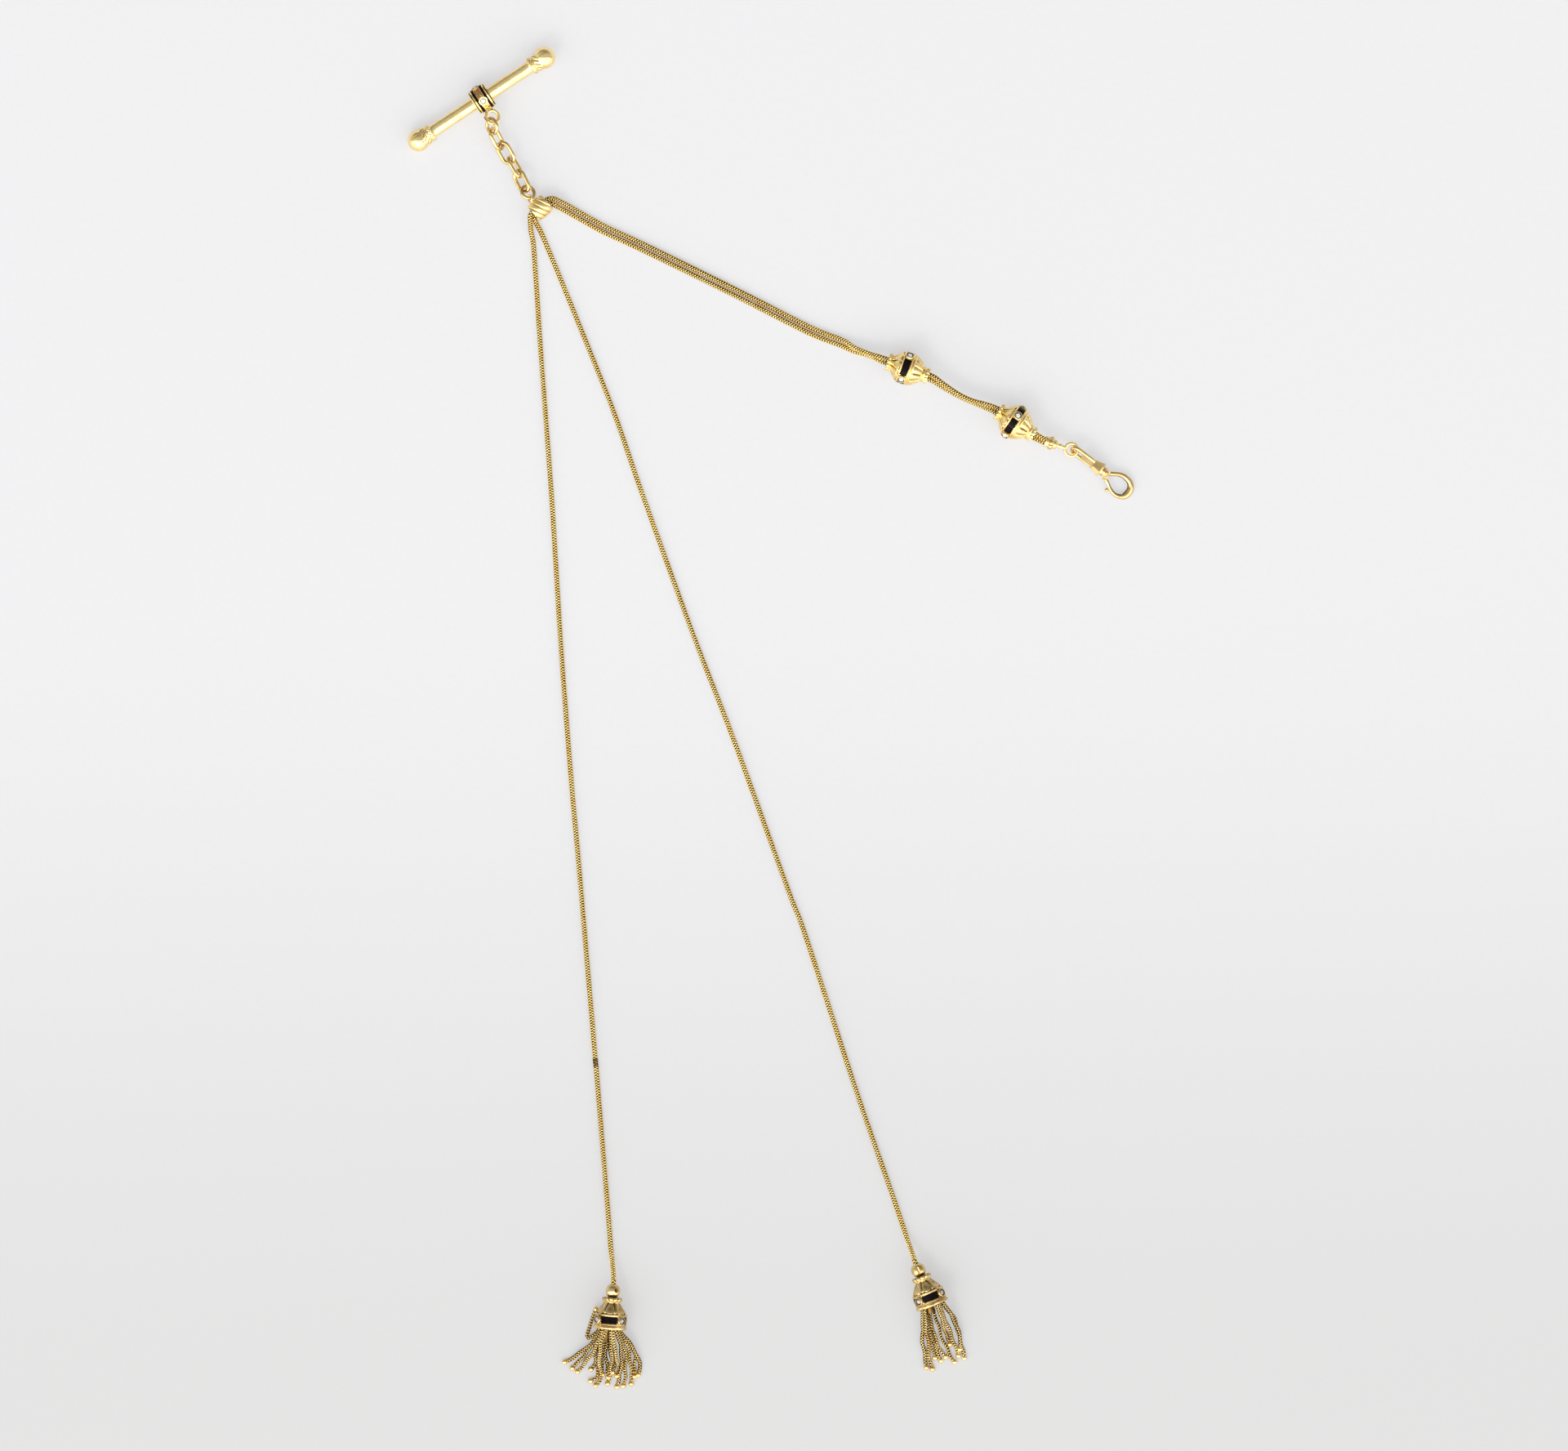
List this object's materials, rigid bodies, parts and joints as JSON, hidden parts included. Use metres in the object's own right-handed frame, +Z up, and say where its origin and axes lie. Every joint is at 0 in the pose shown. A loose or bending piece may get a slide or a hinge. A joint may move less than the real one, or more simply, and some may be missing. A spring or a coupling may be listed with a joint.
{
  "type": "watch chain",
  "caption": "Gold vest watch chain with a T-bar, a short link chain, twin foxtail strands with enamelled urn slides, a swivel hook and tassel drops.",
  "frame": {"origin": "centre of the laid-out chain's outline, on the surface that it lies on", "axes": "+Y from the tassels towards the T-bar, +X towards the swivel hook, +Z up from the surface"},
  "size_m": [0.16, 0.2956, 0.0085],
  "materials": {
    "yellow_gold": "polished",
    "antique_gold": "worn",
    "black_enamel": "gloss",
    "white_stone": "polished"
  },
  "bodies": {
    "chain": {"t_bar": "yellow_gold", "collar": "yellow_gold", "collar_enamel_1": "black_enamel", "collar_enamel_2": "black_enamel", "collar_stone_1": "white_stone", "collar_stone_2": "white_stone", "collar_stone_3": "white_stone", "collar_stone_4": "white_stone", "jump_ring_top": "yellow_gold", "link_1": "yellow_gold", "link_2": "yellow_gold", "link_3": "yellow_gold", "link_4": "yellow_gold", "jump_ring_bottom": "yellow_gold", "slide_bead": "yellow_gold", "pair_strand_a": "yellow_gold", "pair_strand_b": "yellow_gold", "drop_strand_a": "yellow_gold", "drop_strand_b": "yellow_gold", "urn_1": "yellow_gold", "urn_1_enamel": "black_enamel", "urn_1_stone_1": "white_stone", "urn_1_stone_2": "white_stone", "urn_1_stone_3": "white_stone", "urn_1_stone_4": "white_stone", "urn_2": "yellow_gold", "urn_2_enamel": "black_enamel", "urn_2_stone_1": "white_stone", "urn_2_stone_2": "white_stone", "urn_2_stone_3": "white_stone", "urn_2_stone_4": "white_stone", "ferrule": "yellow_gold", "swivel_bell": "yellow_gold", "tassel_1_bead": "antique_gold", "tassel_1_cap": "antique_gold", "tassel_1_enamel": "black_enamel", "tassel_1_tube": "antique_gold", "tassel_1_fringe": "antique_gold", "tassel_1_stone_1": "white_stone", "tassel_1_stone_2": "white_stone", "tassel_1_stone_3": "white_stone", "tassel_1_stone_4": "white_stone", "tassel_2_bead": "antique_gold", "tassel_2_cap": "antique_gold", "tassel_2_enamel": "black_enamel", "tassel_2_tube": "antique_gold", "tassel_2_fringe": "antique_gold", "tassel_2_stone_1": "white_stone", "tassel_2_stone_2": "white_stone", "tassel_2_stone_3": "white_stone", "tassel_2_stone_4": "white_stone"},
    "hook": {"swivel_hook": "yellow_gold"},
    "gate": {"swivel_gate": "yellow_gold"}
  },
  "joints": [
    {"name": "swivel_turn", "type": "hinge", "parent": "chain", "child": "hook", "pos_m": [0.07227, 0.0549, 0.00196], "axis": [0.7956, -0.5887, -0.1426], "continuous": true},
    {"name": "gate_open", "type": "hinge", "parent": "hook", "child": "gate", "pos_m": [0.07347, 0.0527, 0.00163], "axis": [0.1146, -0.0848, 0.9898], "range_deg": [0, 25], "stiffness_Nm_per_rad": 0.005, "springref_deg": -5.73}
  ]
}
